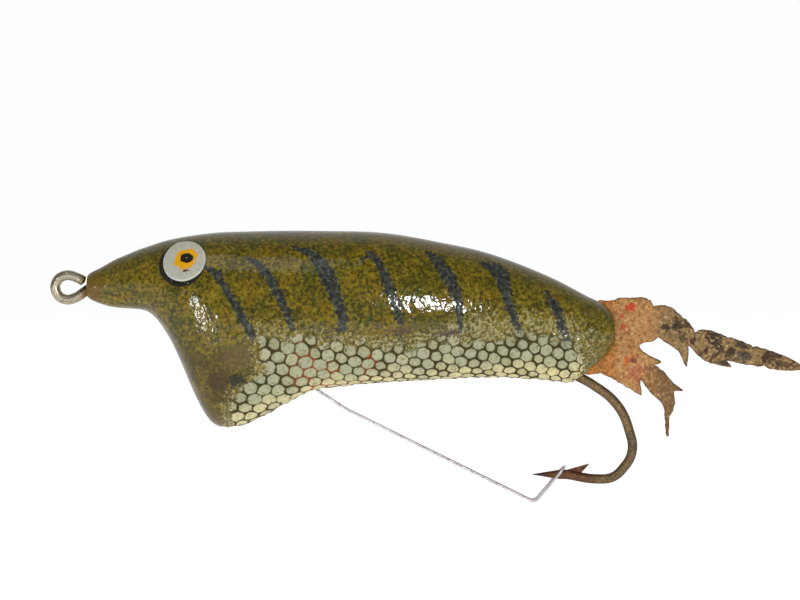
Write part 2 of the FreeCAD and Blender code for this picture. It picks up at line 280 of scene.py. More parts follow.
def smooth_path(corners, steps):
    """A Catmull-Rom curve through the corners, with the given steps for each span."""
    corners = np.asarray(corners, float)
    ends = 2 * corners[0] - corners[1], 2 * corners[-1] - corners[-2]
    held = np.vstack([ends[0], corners, ends[1]])
    t = np.linspace(0, 1, steps, endpoint=False)[:, None]
    spans = []
    for p0, p1, p2, p3 in zip(held, held[1:], held[2:], held[3:]):
        spans.append(0.5 * (2 * p1 + (p2 - p0) * t + (2 * p0 - 5 * p1 + 4 * p2 - p3) * t ** 2
                            + (3 * p1 - p0 - 3 * p2 + p3) * t ** 3))
    return np.vstack(spans + [corners[-1:]])


def segment_distance(points, start, end):
    """Distance of each point to a segment, and how far along it the foot lies, 0 to 1."""
    start, run = np.asarray(start, float), np.asarray(end, float) - np.asarray(start, float)
    share = np.clip(((points - start) @ run) / max(run @ run, 1e-12), 0, 1)
    return np.linalg.norm(points - start - share[:, None] * run, axis=1), share


def smoothstep(values, low, high):
    share = np.clip((np.asarray(values, float) - low) / (high - low), 0, 1)
    return share * share * (3 - 2 * share)


def bumpy(points, size, seed=0.0):
    """Smooth noise of about -1 to 1 at each point, with lumps of the given size in mm."""
    shift = Vector((seed * 17.3, seed * 5.9, seed * 11.1))
    return np.array([noise.noise(Vector(p) / size + shift) for p in points])


def ring_faces(rings, sides):
    """Quads between neighbouring rings of points, and a fan at each end onto one more point."""
    faces, tip, last = [], rings * sides, (rings - 1) * sides
    for a in range(last):
        b = a + 1 if (a + 1) % sides else a + 1 - sides
        faces.append((a, a + sides, b + sides, b))
    for a in range(sides):
        b = (a + 1) % sides
        faces.extend([(a, b, tip), (last + b, last + a, tip + 1)])
    return faces


TUBE_SIDES = 32
TUBE_EASE = 4               # rings at each end that close in
TUBE_CROWN = 0.35           # height of the last point over its ring, as a share of its radius


def tube(name, path, radius, material):
    """A round bar along a path of points; its last few rings close in at each end."""
    path = np.asarray(path, float)
    radii = np.full(len(path), radius, float)
    for k in range(TUBE_EASE):
        share = (k + 0.6) / (TUBE_EASE + 0.1)
        radii[k] = radii[-1 - k] = radius * math.sin(math.pi / 2 * share)
    tangents = np.gradient(path, axis=0)
    tangents /= np.linalg.norm(tangents, axis=1)[:, None]
    side = np.cross(tangents[0], (0.31, 0.17, 0.93))
    turns = 2 * math.pi * np.arange(TUBE_SIDES) / TUBE_SIDES
    points = []
    for place, heading, reach in zip(path, tangents, radii):
        side = side - heading * (side @ heading)
        side /= np.linalg.norm(side)
        up = np.cross(heading, side)
        points.extend(place + reach * (math.cos(a) * side + math.sin(a) * up) for a in turns)
    for end, heading in ((0, -1), (-1, 1)):
        points.append(path[end] + heading * tangents[end] * radii[end] * TUBE_CROWN)
    faces = [(face[0], *face[:0:-1]) for face in ring_faces(len(path), TUBE_SIDES)]
    return new_mesh(name, points, faces, material)


# ---------------------------------------------------------------- sizes and colours

def colour(name, description, *tone):
    return FloatVectorProperty(name=name, description=description, subtype="COLOR", size=4,
                               min=0, max=1, default=srgb(*tone))


def length(name, description, value_mm):
    return FloatProperty(name=name, description=description, default=value_mm * MM,
                         unit="LENGTH", subtype="DISTANCE", precision=5)


class LureSkinSettings(bpy.types.PropertyGroup):
    pitch: length("Scale pitch", "Distance between the centres of two scales", 3.35)
    relief: length("Scale relief", "Height of a scale above its groove", 0.46)
    lumps: length("Lumps", "Height of the skin's slow unevenness", 0.16)
    row_angle: FloatProperty(name="Row angle", description="Slope of the rows of scales",
                             default=math.radians(12), subtype="ANGLE")
    rings: length("Ring step", "Distance between two rings of the skin's mesh", 0.34)
    olive: colour("Olive", "Main paint of the flank", 88, 78, 8)
    moss: colour("Moss", "Lighter blotches in the olive", 116, 98, 12)
    bars: colour("Bars", "Brushed cross bars", 32, 36, 38)
    silver: colour("Silver", "Scales high on the flank", 164, 166, 136)
    cream: colour("Cream", "Scales near the belly", 214, 203, 152)
    groove: colour("Groove", "Between the scales", 58, 52, 18)


class LureEyeSettings(bpy.types.PropertyGroup):
    disc: colour("Disc", "Enamel of the tack's head", 166, 166, 150)
    iris: colour("Iris", "Painted ring", 218, 160, 0)
    pupil: colour("Pupil", "Painted spot", 18, 12, 4)
    iris_radius: length("Iris radius", "Mean radius of the painted ring", 2.65)
    pupil_radius: length("Pupil radius", "Mean radius of the painted spot", 1.5)


class LureWireSettings(bpy.types.PropertyGroup):
    nickel: colour("Nickel", "Plate left on the line tie", 168, 160, 140)
    bronze: colour("Bronze", "Bronzing left on the hook", 116, 88, 62)
    rust: colour("Rust", "Rust on the hook", 70, 54, 40)
    spring: colour("Spring wire", "Bright wire of the weed guard", 206, 200, 208)


class LureTailSettings(bpy.types.PropertyGroup):
    thickness: length("Thickness", "Of the leather, away from its edges", 1.0)
    grid: length("Mesh step", "Distance between points of the leather's mesh", 0.42)
    tan: colour("Tan", "Clean leather at the fan", 176, 128, 76)
    drab: colour("Drab", "Weathered leather of the claws", 140, 114, 74)
    dark: colour("Dark", "Dark blotches", 58, 42, 30)
    stain: colour("Stain", "Glue that soaked into the leather", 198, 122, 46)


VIEW_CENTRE = (79.85, -3.05)    # x and z that the camera looks at, mm
VIEW_DISTANCE = 480.0           # from the camera to the lure's mid-plane, mm


class LureStageSettings(bpy.types.PropertyGroup):
    floor: colour("Floor", "Colour of the floor", 244, 244, 246)
    distance: length("Camera distance", "From the camera to the lure's mid-plane",
                     VIEW_DISTANCE)
    glow: FloatProperty(name="Floor glow", description="Light the floor gives off", default=0.58)
    room: FloatProperty(name="Room", description="Brightness of the room in front", default=0.12)
    lens: FloatProperty(name="Lens", description="Focal length in millimetres", default=90.0)


# ---------------------------------------------------------------- stage

# name; place to the right of the view's centre, in front of the lure and above it, and size,
# in mm; and power in W
LAMPS = [("key", (-130, -300, 360), (220, 160), 0.19),
         ("front", (118, -540, 125), (38, 66), 1.05),
         ("side", (-250 - VIEW_CENTRE[0], -480, -10), (34, 90), 0.42)]
LAMP_AIM = (VIEW_CENTRE[0], 0, -5)
FLOOR_REACH = 6000          # half the floor's width, mm
FLOOR_GAP = 0.15            # between the floor and the lowest point, mm


def area_light(name, place_mm, size_mm, watts):
    data = bpy.data.lights.new(name, "AREA")
    data.shape = "RECTANGLE"
    data.size, data.size_y = (side * MM for side in size_mm)
    data.energy = watts
    lamp = bpy.data.objects.new(name, data)
    lamp.location = (Vector(place_mm) + Vector((VIEW_CENTRE[0], 0, 0))) * MM
    heading = Vector(LAMP_AIM) * MM - lamp.location
    lamp.rotation_euler = heading.to_track_quat("-Z", "Y").to_euler()
    bpy.context.scene.collection.objects.link(lamp)


def studio_world(look):
    """A white room that lights the lure more from behind it than from the front."""
    world = bpy.data.worlds.new("studio")
    world.use_nodes = True
    n = Nodes(world.node_tree)
    heading = n.split(n.made("Generated", "ShaderNodeTexCoord"))
    level = n.step(heading[1], -0.15, 0.45, look.room, 1.0)
    level = n.math("MAXIMUM", level, n.made("Is Camera Ray", "ShaderNodeLightPath"))
    sky = world.node_tree.nodes["Background"]
    sky.inputs[0].default_value = (0.985, 0.99, 1.0, 1.0)
    n.feed(sky.inputs[1], level)
    return world


class LURE_OT_stage(bpy.types.Operator):
    """Add the pale floor, the soft lights and the camera"""
    bl_idname = "lure.stage"
    bl_label = "Stage"

    def execute(self, context):
        look = context.scene.lure_stage
        paint = Paint("pale_floor")
        paper = paint.noise(paint.mm, 0.02, 2.0)
        shade = paint.mix(paint.step(paper, 0.3, 0.7), look.floor, srgb(244, 245, 248))
        glow = {"Emission Color": (1, 1, 1, 1), "Emission Strength": look.glow}
        floor_z = CAD_BOX[0][2] / MM - FLOOR_GAP
        corners = [(FLOOR_REACH * x, FLOOR_REACH * y, floor_z)
                   for x, y in ((-1, -1), (1, -1), (1, 1), (-1, 1))]
        floor = new_mesh("floor", corners, [(0, 1, 2, 3)],
                         paint.finish(shade, 0.9, level=0.1, extra=glow))
        context.scene.world = studio_world(look)
        for lamp in LAMPS:
            area_light(*lamp)
        data = bpy.data.cameras.new("camera")
        data.lens = look.lens
        data.clip_start = 0.01
        camera = bpy.data.objects.new("camera", data)
        camera.location = (VIEW_CENTRE[0] * MM, -look.distance, VIEW_CENTRE[1] * MM)
        camera.rotation_euler = (math.radians(90), 0, 0)
        context.scene.collection.objects.link(camera)
        context.scene.camera = camera
        context.scene.view_settings.view_transform = "Standard"
        return {"FINISHED"}


# ---------------------------------------------------------------- skin

FLANK_POINTS = 104          # intervals from the ridge to the belly seam
FLANK_LEVEL = -8.5          # z from which the rows of scales are counted down
THROAT = (18.5, 37.0)       # x range where the chin's front is steep, mm
RAYS = 144                  # cast at the body around each station
CAP_RINGS = [(0.14, 0.97), (0.26, 0.86), (0.32, 0.5)]   # mm past the end ring, share of it

# one brushed bar: (x, z) points down the flank, half width at each point, mm
BARS = [
    ([(32.9, 4.8), (35.9, 3.3), (38.4, -1.1), (41.4, -6.2), (44.3, -11.6)],
     (0.6, 1.2, 0.95, 1.15, 1.2)),
    ([(42.9, 7.1), (46.0, 5.5), (48.5, 2.4), (50.6, -1.9), (52.4, -5.4), (54.0, -9.8)],
     (0.5, 1.1, 1.15, 1.1, 1.0, 0.8)),
    ([(54.3, 9.5), (58.3, 8.4), (61.2, 5.2), (63.3, 0.9), (64.7, -3.3), (66.1, -6.8),
      (65.9, -9.8)], (0.5, 1.1, 1.8, 2.0, 1.5, 1.4, 0.9)),
    ([(72.1, 8.5), (74.5, 6.6), (76.0, 3.4), (77.4, -0.5), (78.8, -4.0), (79.8, -8.2)],
     (0.6, 1.1, 1.2, 1.4, 1.3, 0.9)),
    ([(70.0, 5.6), (70.9, 6.9), (72.6, 7.2)], (0.3, 0.5, 0.4)),
    ([(86.2, 8.7), (88.6, 6.2), (91.4, 2.7), (93.2, -1.2), (94.1, -5.4), (94.3, -10.7)],
     (0.5, 1.3, 1.7, 1.5, 1.1, 0.7)),
    ([(99.2, 5.9), (102.8, 4.4), (104.4, 2.6), (105.2, -0.4), (106.0, -4.4),
      (107.6, -8.3), (109.1, -12.3)], (0.5, 1.5, 2.0, 1.5, 1.1, 1.0, 0.8)),
    ([(114.9, -1.0), (116.9, -4.2), (118.1, -6.9)], (0.5, 1.2, 1.1)),
    ([(118.5, -8.6), (119.2, -11.2), (119.9, -14.2)], (1.1, 1.2, 1.2)),
]
# the front, top and rear edge of the scaly patch, as (x, z)
SCALY_TOP = [(40, -10.6), (46, -11.3), (56, -12.2), (66, -13.4), (80, -13.8), (95, -12.2),
             (110, -11.6), (118, -11.9), (124, -13.0)]
SCALY_FRONT = [(45.5, -11.5), (46.6, -17.0), (46.2, -21.0), (42.0, -23.7), (40.0, -26.5),
               (39.4, -29.5), (38.5, -34.0)]
SCALY_REAR_X = 123.5
PIT = {"x": (57.3, 63.1), "half_width": 1.5, "depth": 3.2}   # where the guard's legs enter
EYE_SHADOW = {"shift": (-0.55, 0, -0.5), "radius": 5.75}     # dark crescent round a tack: the eye's painted outline and painted shadow under its head
NO_SHADOW = 9.0             # for points beyond the reach of any shadow, mm


def skin_stations(step):
    """x of each ring, closer together where the chin's front is steep."""
    low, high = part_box("skin_cover")
    x, last, stations = low.x / MM + 0.3, high.x / MM - 0.1, []
    while x < last - step / 2:
        stations.append(x)
        x += step / 2 if THROAT[0] < x < THROAT[1] else step
    return stations + [last]


RAY_REACH = 60.0            # rays towards the skin start this far from its middle, mm
LEAST_RADIUS = 0.3          # a hit nearer to the middle than this counts as a miss, mm
RIDGE_AT = (0.3, 1.2, 2.5, 4.0)     # where the ridge and the keel are felt for, y in mm


def ring_outline(surface, x):
    """(y, z) points of the skin's outer surface at x, clockwise from the ridge."""
    ends = []
    for heading in (1, -1):
        down = Vector((0, 0, -heading))
        hits = [surface.ray_cast(Vector((x, y, heading * RAY_REACH)) * MM, down)
                for y in RIDGE_AT]
        ends.append(heading * max(heading * hit[0].z for hit in hits if hit[0]) / MM)
    middle = sum(ends) / 2
    angles = 2 * math.pi * np.arange(RAYS) / RAYS
    radii = np.full(RAYS, np.nan)
    for index, angle in enumerate(angles):
        heading = Vector((0, -math.sin(angle), math.cos(angle)))
        origin = (Vector((x, 0, middle)) + heading * RAY_REACH) * MM
        hit = surface.ray_cast(origin, -heading)
        if hit[0] is not None and RAY_REACH - hit[3] / MM > LEAST_RADIUS:
            radii[index] = RAY_REACH - hit[3] / MM
    missed = np.isnan(radii)
    missed |= np.roll(missed, 1) | np.roll(missed, -1)
    known = np.flatnonzero(~missed)
    radii = np.interp(np.arange(RAYS), known, radii[known], period=RAYS)
    return np.column_stack([-radii * np.sin(angles), middle + radii * np.cos(angles)])


def flank_line(outline, x):
    """One flank from ridge to seam at even steps: points and the three flank measures."""
    steps = np.linalg.norm(np.diff(outline, axis=0), axis=1)
    run = np.concatenate([[0], np.cumsum(steps)])
    even = np.linspace(0, run[-1], FLANK_POINTS + 1)
    y, z = (np.interp(even, run, outline[:, axis]) for axis in (0, 1))
    if outline[-1, 1] < FLANK_LEVEL:
        level = np.interp(-FLANK_LEVEL, -outline[:, 1], run)
    else:
        level = run[-1] + outline[-1, 1] - FLANK_LEVEL
    points = np.column_stack([np.full_like(y, x), y, z])
    measures = np.column_stack([points[:, 0], level - even, even])
    return points, measures, run[-1] - even


def skin_rings(step):
    """All rings of the skin: points, flank measures and the distance to the seam."""
    depsgraph = bpy.context.evaluated_depsgraph_get()
    surface = BVHTree.FromObject(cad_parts["skin_cover"], depsgraph)
    rings = []
    for x in skin_stations(step):
        outline = ring_outline(surface, x)
        half = RAYS // 2
        near = flank_line(outline[:half + 1], x)
        far = flank_line(np.vstack([outline[:1], outline[:half - 1:-1]]), x)
        rings.append([np.concatenate([n, f[-2:0:-1]]) for n, f in zip(near, far)])
    return [np.array([ring[k] for ring in rings]) for k in range(3)]


def cap_ring(points, out_mm, share):
    centre = points.mean(axis=0)
    moved = centre + (points - centre) * share
    moved[:, 0] += out_mm
    return moved


def closed_skin(rings):
    """Vertices, faces, flank measures and seam distances, with rounded nose and tail ends."""
    points, flank, seam = rings
    ends = []
    for ring, sign in ((points[0], -1), (points[-1], 1)):
        ends.append([cap_ring(ring, sign * out, share) for out, share in CAP_RINGS])
    stack = np.concatenate([ends[0][::-1], points, ends[1]])
    order = [0] * 3 + list(range(len(points))) + [len(points) - 1] * 3
    tips = stack[[0, -1]].mean(axis=1)
    flank, seam = flank[order], seam[order]
    flank = np.vstack([flank.reshape(-1, 3), flank[[0, -1], 0]])
    seam = np.append(seam.reshape(-1), seam[[0, -1], 0])
    vertices = np.vstack([stack.reshape(-1, 3), tips])
    return vertices, ring_faces(*stack.shape[:2]), flank, seam


def bar_distance(points):
    """Distance outside the nearest brushed bar, negative inside it, in mm."""
    best = np.full(len(points), 20.0)
    for corners, half_widths in BARS:
        for k in range(len(corners) - 1):
            distance, share = segment_distance(points, corners[k], corners[k + 1])
            half = half_widths[k] + share * (half_widths[k + 1] - half_widths[k])
            best = np.minimum(best, distance - half)
    return best


def scaly_depth(points):
    """How far inside the scaly patch a flank point lies, in mm."""
    x, z = points[:, 0], points[:, 1]
    top = np.interp(x, *np.array(SCALY_TOP).T)
    front_x, front_z = np.array(SCALY_FRONT)[::-1].T
    front = np.interp(z, front_z, front_x)
    return np.minimum(np.minimum(top - z, x - front), SCALY_REAR_X - x)


def eye_face(node):
    """Centre and outward normal of a tack's flat face, in mm."""
    mesh = node.data
    side = 1 if np.mean([v.co.y for v in mesh.vertices]) > 0 else -1
    best = max((poly for poly in mesh.polygons if poly.normal.y * side > 0),
               key=lambda poly: poly.area)
    flat = [p for p in mesh.polygons if p.normal.dot(best.normal) > 0.9995]
    area = sum(p.area for p in flat)
    centre = sum((p.center * p.area for p in flat), Vector()) / area
    return np.array(centre) / MM, np.array(best.normal)


def press_guard_pit(vertices):
    """Presses the opening for the guard's two legs into the belly."""
    low, high = PIT["x"]
    x, y, z = vertices.T
    below = z < -15
    across = 1 - smoothstep(np.abs(y), PIT["half_width"] - 0.25, PIT["half_width"] + 0.1)
    along = smoothstep(x, low - 0.15, low + 0.25) * (1 - smoothstep(x, high - 0.25, high + 0.15))
    pit = np.where(below, across * along, 0.0)
    vertices[:, 2] += pit * PIT["depth"]
    return pit


CREASE_HEIGHT = 0.13        # of the fold in the skin along the top of the scales, mm
SEAM_HEIGHT = 0.18          # of the skin's overlap at the belly seam, mm


def skin_relief_tree():
    """Raises the scales, the belly seam and the skin's slow lumps along the normals."""
    tree = bpy.data.node_groups.new("skin_relief", "GeometryNodeTree")
    face = tree.interface
    face.new_socket("Geometry", in_out="INPUT", socket_type="NodeSocketGeometry")
    for name in ("Pitch", "Row angle", "Relief", "Lumps"):
        face.new_socket(name, in_out="INPUT", socket_type="NodeSocketFloat")
    face.new_socket("Material", in_out="INPUT", socket_type="NodeSocketMaterial")
    face.new_socket("Geometry", in_out="OUTPUT", socket_type="NodeSocketGeometry")
    n = Nodes(tree)
    given = {socket.name: Value(n, socket) for socket in n.add("NodeGroupInput").outputs}
    read = {name: n.made("Attribute", "GeometryNodeInputNamedAttribute", name, data_type=kind)
            for name, kind in (("flank", "FLOAT_VECTOR"), ("scaly", "FLOAT"),
                               ("seam", "FLOAT"), ("pit", "FLOAT"))}
    place = n.scaled(n.made(0, "GeometryNodeInputPosition"), 1 / MM)
    middle, own, _ = scale_cells(n, read["flank"], given["Pitch"], given["Row angle"])
    dome = n.math("POWER", middle, 0.45) * n.step(own, -0.6, 1.0, 0.55, 1.0)
    scales = (dome - 0.55) * n.step(read["scaly"], -2.2, 0.8) * given["Relief"]
    slow = n.noise(place, 0.11, 3.0) - 0.5
    fine = n.noise(place, 0.75, 3.0, 0.6) - 0.5
    lumps = (slow + fine * 0.32) * given["Lumps"]
    x, down, _ = n.split(read["flank"])
    wander = n.noise(place, 0.07, 2.0) * 2.2
    crease = n.step(abs(down + (wander + 0.6)), 0.55, 0.0) * (
        n.step(x, 36.0, 42.0) * n.step(x, 98.0, 84.0))
    lip = n.step(read["seam"], 0.9, 0.25) * n.step(x, 34.0, 38.0)
    ridges = crease * (CREASE_HEIGHT * MM) + lip * (SEAM_HEIGHT * MM)
    height = (scales + lumps + ridges) * (1.0 - read["pit"])
    offset = n.scaled(n.made(0, "GeometryNodeInputNormal"), height)
    moved = n.made(0, "GeometryNodeSetPosition", {0: given["Geometry"], "Offset": offset})
    real = n.made(0, "GeometryNodeRealizeInstances", moved)
    painted = n.made(0, "GeometryNodeSetMaterial", {0: real, "Material": given["Material"]})
    n.add("NodeGroupOutput", painted)
    return tree


def apply_tree(piece, tree, values):
    """Runs a node tree on a piece and keeps the result as its plain mesh."""
    modifier = piece.modifiers.new(tree.name, "NODES")
    modifier.node_group = tree
    for item in tree.interface.items_tree:
        if item.item_type == "SOCKET" and item.name in values:
            modifier[item.identifier] = values[item.name]
    depsgraph = bpy.context.evaluated_depsgraph_get()
    ready = piece.evaluated_get(depsgraph)
    mesh = bpy.data.meshes.new_from_object(ready, preserve_all_data_layers=True,
                                           depsgraph=depsgraph)
    piece.modifiers.remove(modifier)
    old, piece.data = piece.data, mesh
    bpy.data.meshes.remove(old)


SKIN_STAINS = [
    (41.3, -21.8, 2.6, 1.6, (34, 28, 6), 0.9), (37.0, -22.4, 3.6, 2.2, (60, 42, 12), 0.6),
    (41.5, -16.6, 3.4, 3.0, (104, 78, 42), 0.55), (26.5, -22.0, 1.6, 5.0, (122, 136, 70), 0.5),
    (33.0, -30.0, 4.5, 2.4, (84, 78, 34), 0.5), (91.0, -10.9, 3.4, 0.9, (66, 48, 36), 0.8),
    (80.5, -10.4, 3.2, 0.8, (84, 62, 44), 0.7), (66.3, -10.2, 2.6, 0.8, (44, 38, 16), 0.7),
    (7.0, 0.4, 2.2, 3.6, (110, 74, 26), 0.5), (114.0, -21.3, 3.0, 0.5, (40, 30, 26), 0.8)]


def skin_material(look):
    """Olive lacquer with brushed bars over a scaly, stained belly."""
    p = Paint("painted_skin")
    bar, scaly, seam, eye, pit = (p.attribute(name) for name in (
        "bar", "scaly", "seam", "eye_shadow", "pit"))
    flank = p.attribute("flank", "Vector")
    x, _, ridge = p.split(flank)
    z = p.split(p.mm)[2]
    broad = p.noise(p.mm, 0.13, 3.0)
    grain = p.noise(p.mm, 1.2, 4.0, 0.62)
    fleck = p.noise(p.mm, 2.4, 3.0, 0.7)
    dust = p.noise(p.mm, 1.3, 5.0, 0.75, 0.4)
    patch = p.noise(p.mm, 0.32, 3.0, 0.6)
    ground = p.mix(p.step(broad, 0.36, 0.62), look.olive, look.moss)
    ground = p.tinted(ground,
                      (patch, 0.5, 0.62, 0.42, (118, 90, 12)),
                      (patch, 0.48, 0.36, 0.65, (62, 70, 8)),
                      (grain, 0.52, 0.4, 0.75, (42, 42, 6)),
                      (grain, 0.53, 0.68, 0.6, (150, 136, 44)),
                      # painted sheen: a greyer, lighter band along the back
                      (ridge, 12.0, 3.0, 0.5, (88, 80, 40)))
    chin = p.step(x, 46.0, 36.0) * p.step(z, -11.0, -19.0)
    ground = p.mix(chin * p.step(patch, 0.6, 0.4, 0.2, 0.75), ground, srgb(72, 52, 10))
    speckled = p.step(scaly + p.step(x, 84.0, 98.0, 0.0, 3.6), -8.0, 0.8)
    bound = 0.66 - speckled * 0.17 + p.step(x, 121.0, 127.0, 0.0, 0.05)
    over = p.step(dust - bound, 0.0, 0.05)
    ground = p.mix(over * p.blend(speckled, 0.4, 0.75), ground,
                   p.mix(speckled, srgb(176, 162, 92), srgb(172, 166, 120)))
    ground = stained(p, ground, x, z, (grain - 0.5) * 1.8, SKIN_STAINS)
    covered = p.step(bar + (grain - 0.5) * 2.2, 0.3, -0.45) * p.step(fleck, 0.7, 0.6, 0.55, 1)
    ground = p.mix(covered * 0.93, ground,
                   p.mix(p.step(grain, 0.4, 0.66), look.bars, srgb(70, 76, 72)))
    middle, own, other = scale_cells(p, flank, look.pitch / MM, look.row_angle)
    low = p.step(seam, 12.0, 3.5)
    plate = p.mix(low + (own - 0.5) * 0.5, look.silver, look.cream)
    plate = p.tinted(plate,
                     (other, 0.55, 1.0, 0.35, (122, 118, 84)),
                     (dust, 0.5, 0.38, 0.7, (116, 110, 66)),
                     (fleck, 0.6, 0.7, 0.45, (232, 226, 196)))
    rusty = p.step(broad, 0.46, 0.6) * p.step(abs(x - 66.0), 16.0, 6.0)
    rusty = rusty * p.step(seam, 2.0, 5.0)
    crack = p.mix(rusty * 0.85, look.groove, srgb(142, 74, 32))
    worn = (grain - 0.5) * 0.42 + p.step(other, 0.0, 1.0, 0.06, -0.14)
    belly = p.mix(p.step(middle + worn, 0.02, 0.22), crack, plate)
    shown = p.step(scaly + (dust - 0.5) * 9.0 + (own - 0.5) * 2.4, -0.6, 1.4)
    shade = p.mix(shown, ground, belly)
    glue = p.step(seam + grain * 1.6, 2.1, 1.1) * p.step(x, 35.0, 39.0)
    shade = p.mix(glue * 0.85, shade, p.mix(grain, srgb(186, 134, 62), srgb(222, 186, 122)))
    shade = p.tinted(shade,
                     (x + grain * 2.4, 132.2, 133.0, 0.7, (168, 98, 30)),
                     # painted shadow under each tack's head, over the eye's painted outline
                     (eye, 0.25, -0.15, 1.0, (34, 32, 24)),
                     # painted shade in the opening for the guard's legs
                     (pit, 0.2, 0.7, 1.0, (40, 28, 14)))
    rough = p.blend(shown, p.step(grain, 0.3, 0.7, 0.3, 0.46), 0.52)
    fine = grain * 0.8 + fleck * 0.35
    ripple = p.noise(p.mm, 0.8, 1.0, 0.5)
    return p.finish(shade, rough, p.bump(fine, 0.26, 0.9), coat=p.blend(shown, 0.55, 0.1),
                    coat_rough=0.1, level=0.08, film=p.bump(ripple, 0.09, 1.0))


class LURE_OT_skin(bpy.types.Operator):
    """Stretch the scaly, painted skin over the carved body"""
    bl_idname = "lure.skin"
    bl_label = "Skin"

    def execute(self, context):
        look = context.scene.lure_skin
        vertices, faces, flank, seam = closed_skin(skin_rings(look.rings / MM))
        pit = press_guard_pit(vertices)
        material = skin_material(look)
        skin = new_mesh("stretched_skin", vertices, faces, material)
        shadow = np.full(len(vertices), NO_SHADOW)
        for name in ("eye_tack_near", "eye_tack_far"):
            centre = eye_face(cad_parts[name])[0] + EYE_SHADOW["shift"]
            reach = np.linalg.norm(vertices - centre, axis=1) - EYE_SHADOW["radius"]
            shadow = np.minimum(shadow, reach)
        spread = VIEW_DISTANCE / (VIEW_DISTANCE - np.abs(vertices[:, 1:2]))
        side_view = VIEW_CENTRE + (vertices[:, [0, 2]] - VIEW_CENTRE) * spread
        for name, values in (("flank", flank), ("seam", seam), ("pit", pit),
                             ("bar", bar_distance(side_view)), ("eye_shadow", shadow),
                             ("scaly", scaly_depth(side_view))):
            store(skin, name, values)
        apply_tree(skin, skin_relief_tree(), {
            "Pitch": look.pitch / MM, "Row angle": look.row_angle, "Relief": look.relief,
            "Lumps": look.lumps, "Material": material})
        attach(skin, "lure")
        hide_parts("skin_cover")
        return {"FINISHED"}


# ---------------------------------------------------------------- eyes

# an eye tack's profile from the middle of its face to its back: radius share, height in mm
EYE_PROFILE = [(0.12, 0.24), (0.25, 0.23), (0.38, 0.21), (0.5, 0.18), (0.62, 0.15), (0.74, 0.1),
               (0.84, 0.04), (0.91, -0.02), (0.955, -0.08), (0.985, -0.19), (1.0, -0.36),
               (1.0, -0.8), (0.98, -1.3), (0.6, -1.35)]
EYE_SIDES = 96
# places on the face, in mm along the body and up from its middle
IRIS_AT, PUPIL_AT, GLINT_AT, CHIP_AT = (0.5, 0.25), (0.72, 0.42), (0.66, 0.55), (0.55, -2.75)
EYE_FACE = 0.24             # height of the face's middle, mm
EYE_BACK = -1.35            # height of its back, mm
HEAD_BELOW = -1.2           # height down to which a tack is as wide as its head, mm


def eye_material(look):
    """Grey-white enamel with a hand-painted iris and pupil."""
    p = Paint("eye_enamel")
    face = p.attribute("face", "Vector")
    flat = p.vector("MULTIPLY", face, (1, 1, 0))
    grain = p.noise(p.mm, 2.2, 4.0, 0.7)
    wobble = p.noise(flat, 0.55, 2.0) - 0.5
    enamel = p.tinted(look.disc,
                      (grain, 0.35, 0.62, 0.6, (196, 194, 180)),
                      (p.noise(p.mm, 3.4, 2.0), 0.62, 0.7, 0.35, (120, 122, 116)))

    def away(place, stretch=(1.0, 1.0)):
        moved = p.vector("SUBTRACT", flat, (*place, 0))
        return p.vector("LENGTH", p.vector("MULTIPLY", moved, (*stretch, 0)))

    ring = away(IRIS_AT, (0.96, 1.06)) + wobble * 2.4
    rim = look.iris_radius / MM
    enamel = p.mix(p.step(ring, rim + 0.22, rim - 0.12), enamel,
                   p.mix(p.step(grain, 0.4, 0.65), look.iris, srgb(222, 152, 4)))
    spot = away(PUPIL_AT, (0.93, 1.12)) + wobble * 1.5
    core = look.pupil_radius / MM
    enamel = p.mix(p.step(spot, core + 0.1, core - 0.06), enamel, look.pupil)
    enamel = p.mix(p.step(away(GLINT_AT), 0.26, 0.12), enamel, srgb(140, 126, 92))
    chipped = p.step(away(CHIP_AT, (0.55, 1.35)) + grain * 1.3, 1.12, 0.98)
    enamel = p.mix(chipped, enamel, srgb(92, 62, 36))
    enamel = p.tinted(enamel,
                      # a painted highlight round the rounded rim of the face
                      (p.vector("LENGTH", flat), 4.7, 5.15, 0.45, (214, 214, 206)),
                      # the side of the head below its face is darker
                      (p.split(face)[2], -0.25, -0.6, 1.0, (52, 48, 34)))
    relief = grain - chipped * 1.5
    return p.finish(enamel, 0.34, p.bump(relief, 0.07, 0.7), coat=0.12,
                    coat_rough=0.2, level=0.15)


class LURE_OT_eyes(bpy.types.Operator):
    """Set a painted tack into each flank for an eye"""
    bl_idname = "lure.eyes"
    bl_label = "Eyes"

    def execute(self, context):
        material = eye_material(context.scene.lure_eye)
        for side in ("near", "far"):
            node = "eye_tack_" + side
            centre, out = eye_face(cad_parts[node])
            across = np.array((1, 0, 0)) - out[0] * out
            across /= np.linalg.norm(across)
            up = np.cross(out, across)
            up *= math.copysign(1, up[2])
            radius = eye_radius(node, centre, out)
            painted = []
            for share, height in EYE_PROFILE:
                for turn in 2 * math.pi * np.arange(EYE_SIDES) / EYE_SIDES:
                    worn = 1 + 0.006 * math.sin(3 * turn + 1) + 0.004 * math.sin(7 * turn)
                    painted.append((share * radius * worn * math.cos(turn),
                                    share * radius * worn * math.sin(turn), height))
            painted = np.array(painted + [(0, 0, EYE_FACE), (0, 0, EYE_BACK)])
            points = centre + painted @ np.array((across, up, out))
            faces = ring_faces(len(EYE_PROFILE), EYE_SIDES)
            if np.cross(across, up) @ out < 0:
                faces = [face[::-1] for face in faces]
            eye = new_mesh("painted_eye_" + side, points, faces, material)
            store(eye, "face", painted)
            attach(eye, "lure")
            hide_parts(node)
        return {"FINISHED"}


def eye_radius(node, centre, out):
    """Radius of a tack's head about its axis, in mm."""
    points = np.array([v.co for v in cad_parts[node].data.vertices]) / MM - centre
    level = points @ out
    flat = points - level[:, None] * out
    return np.linalg.norm(flat[level > HEAD_BELOW], axis=1).max()


# ---------------------------------------------------------------- wires

